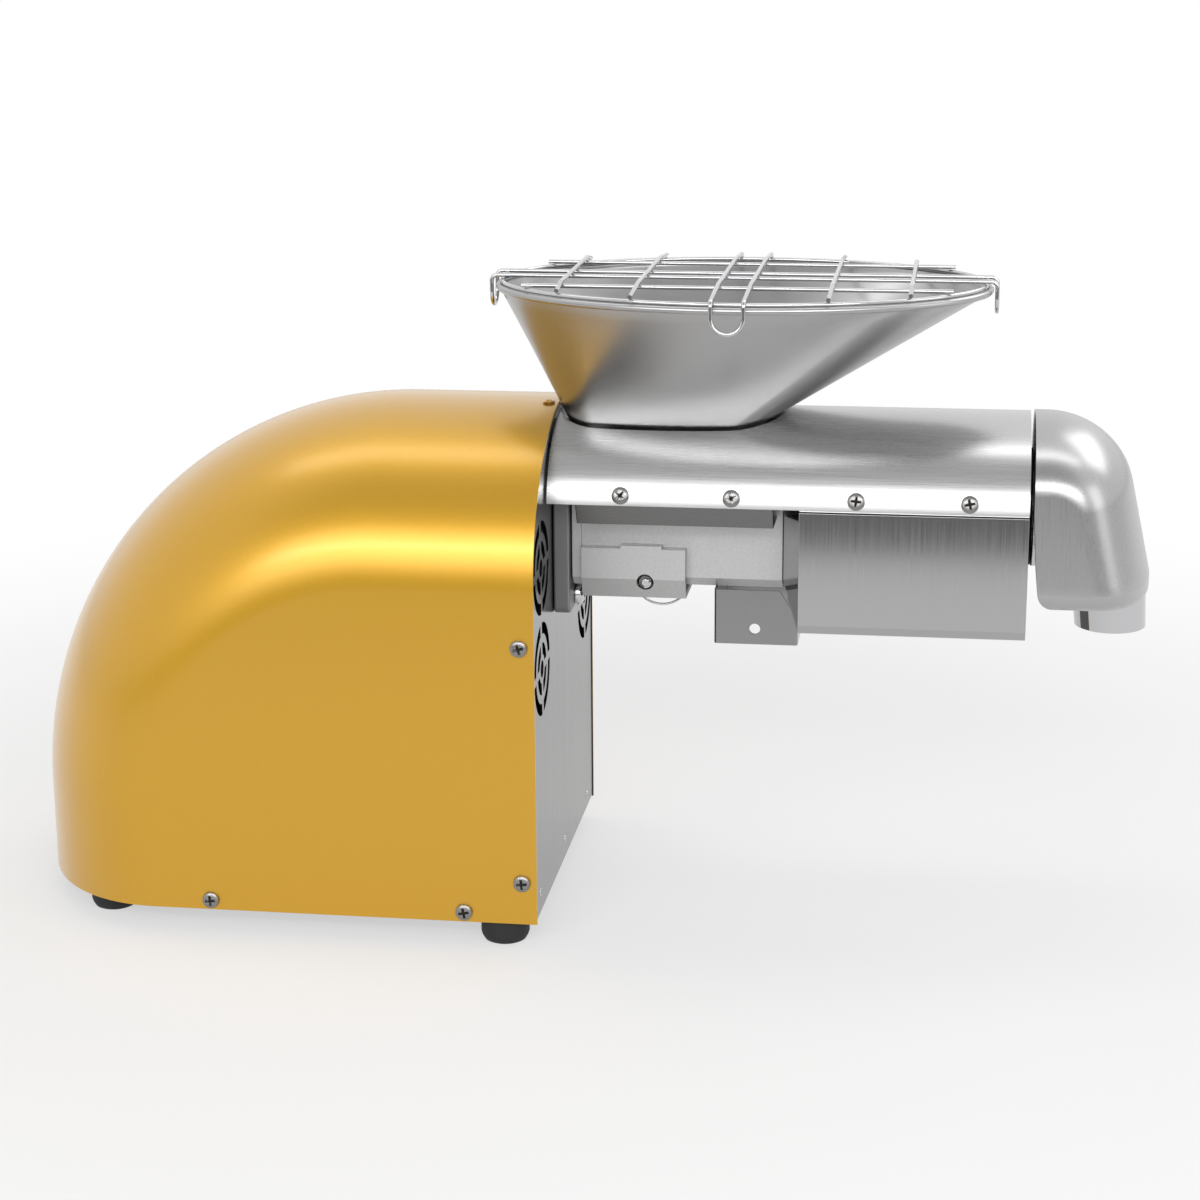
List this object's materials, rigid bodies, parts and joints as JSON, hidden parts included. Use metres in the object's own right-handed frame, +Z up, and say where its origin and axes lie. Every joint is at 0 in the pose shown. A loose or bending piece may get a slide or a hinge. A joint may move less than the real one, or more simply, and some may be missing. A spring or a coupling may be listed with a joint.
{
  "type": "screw oil press",
  "caption": "Kitchen screw oil press: crowned gold housing with motor and gears, press head with hopper, wire grille, heated barrel, oil chute and discharge elbow.",
  "frame": {"origin": "bottom centre of the bounding box, on the plane of the feet", "axes": "+X from the housing along the press screw to the outlet, +Y to the control side, +Z up"},
  "size_m": [0.5848, 0.2054, 0.3357],
  "materials": {
    "gold_paint": "satin metallic gold paint",
    "brushed_stainless": "brushed stainless sheet",
    "polished_stainless": "bright stainless",
    "blasted_casting": "blasted cast stainless, matt grey",
    "machined_steel": "machined steel",
    "grey_casting": "grey painted casting and folded sheet",
    "black_rubber": "matt black rubber",
    "black_plastic": "matt black plastic",
    "red_plastic": "gloss red plastic",
    "bearing_bronze": "bearing bronze",
    "circuit_board": "green circuit board",
    "dark_window": "smoked window"
  },
  "bodies": {
    "press": {"arm_casting": "blasted_casting", "barrel_cover": "brushed_stainless", "barrel_nut": "polished_stainless", "base_tray": "grey_casting", "clamp_block": "blasted_casting", "control_board": "circuit_board", "control_plate": "black_plastic", "cover_rail_far": "brushed_stainless", "cover_rail_near": "brushed_stainless", "display_window": "dark_window", "flange_bolt_far": "machined_steel", "flange_bolt_near": "machined_steel", "foot_front_far": "black_rubber", "foot_front_near": "black_rubber", "foot_rear_far": "black_rubber", "foot_rear_near": "black_rubber", "front_panel": "polished_stainless", "gearbox_case": "grey_casting", "gearbox_lid": "grey_casting", "heater_band": "brushed_stainless", "heater_cover": "brushed_stainless", "housing_cover": "gold_paint", "housing_screw_1": "machined_steel", "housing_screw_2": "machined_steel", "housing_screw_3": "machined_steel", "housing_screw_4": "machined_steel", "insulating_ring": "black_plastic", "motor_body": "grey_casting", "motor_cradle": "grey_casting", "mounting_flange": "blasted_casting", "oil_chute": "brushed_stainless", "output_bearing": "bearing_bronze", "power_inlet": "black_plastic", "press_barrel": "machined_steel", "run_capacitor": "black_plastic"},
    "screw": {"press_screw": "machined_steel", "output_gear": "machined_steel"},
    "middle": {"middle_gear": "machined_steel"},
    "rotor": {"rotor_shaft": "machined_steel", "cooling_fan": "black_plastic"},
    "hopper": {"hopper": "brushed_stainless"},
    "grille": {"grille_cross_1": "polished_stainless", "grille_cross_2": "polished_stainless", "grille_cross_3": "polished_stainless", "grille_cross_4": "polished_stainless", "grille_loop_cross": "polished_stainless", "grille_loop_long": "polished_stainless", "grille_ring": "polished_stainless", "grille_wire_far": "polished_stainless", "grille_wire_near": "polished_stainless"},
    "elbow": {"discharge_elbow": "brushed_stainless", "outlet_tube": "polished_stainless"},
    "lock": {"locking_pin": "machined_steel"},
    "ring": {"pull_ring": "machined_steel"},
    "power_rocker": {"power_rocker": "red_plastic"},
    "direction_rocker": {"direction_rocker": "black_plastic"},
    "heat_up": {"heat_up_button": "black_plastic"},
    "heat_down": {"heat_down_button": "black_plastic"}
  },
  "joints": [
    {"name": "screw_spin", "type": "hinge", "parent": "press", "child": "screw", "pos_m": [0, 0, 0.216], "axis": [1, 0, 0], "continuous": true},
    {"name": "middle_spin", "type": "hinge", "parent": "press", "child": "middle", "pos_m": [0, 0, 0.1635], "axis": [1, 0, 0], "continuous": true},
    {"name": "rotor_spin", "type": "hinge", "parent": "press", "child": "rotor", "pos_m": [0, 0, 0.1285], "axis": [1, 0, 0], "continuous": true},
    {"name": "hopper_lift", "type": "slide", "parent": "press", "child": "hopper", "axis": [0, 0, 1], "range_m": [0, 0.09]},
    {"name": "grille_lift", "type": "slide", "parent": "hopper", "child": "grille", "axis": [0, 0, 1], "range_m": [0, 0.05]},
    {"name": "elbow_pull", "type": "slide", "parent": "press", "child": "elbow", "axis": [1, 0, 0], "range_m": [0, 0.06]},
    {"name": "lock_pull", "type": "slide", "parent": "press", "child": "lock", "axis": [0, 1, 0], "range_m": [0, 0.07]},
    {"name": "ring_swing", "type": "hinge", "parent": "lock", "child": "ring", "pos_m": [0.0363, 0.0408, 0.1781], "axis": [1, 0, 0], "range_deg": [-30, 90]},
    {"name": "power_rock", "type": "hinge", "parent": "press", "child": "power_rocker", "pos_m": [-0.1184, 0.0972, 0.0865], "axis": [1, 0, 0], "range_deg": [0, 12]},
    {"name": "direction_rock", "type": "hinge", "parent": "press", "child": "direction_rocker", "pos_m": [-0.0744, 0.0972, 0.0865], "axis": [1, 0, 0], "range_deg": [-6, 6]},
    {"name": "heat_up_press", "type": "slide", "parent": "press", "child": "heat_up", "axis": [0, -1, 0], "range_m": [0, 0.001], "stiffness_N_per_m": 300, "springref_m": -0.0005},
    {"name": "heat_down_press", "type": "slide", "parent": "press", "child": "heat_down", "axis": [0, -1, 0], "range_m": [0, 0.001], "stiffness_N_per_m": 300, "springref_m": -0.0005}
  ],
  "couplings": [
    {"joint": "middle_spin", "follows": "screw_spin", "ratio": -4},
    {"joint": "rotor_spin", "follows": "screw_spin", "ratio": 12}
  ]
}
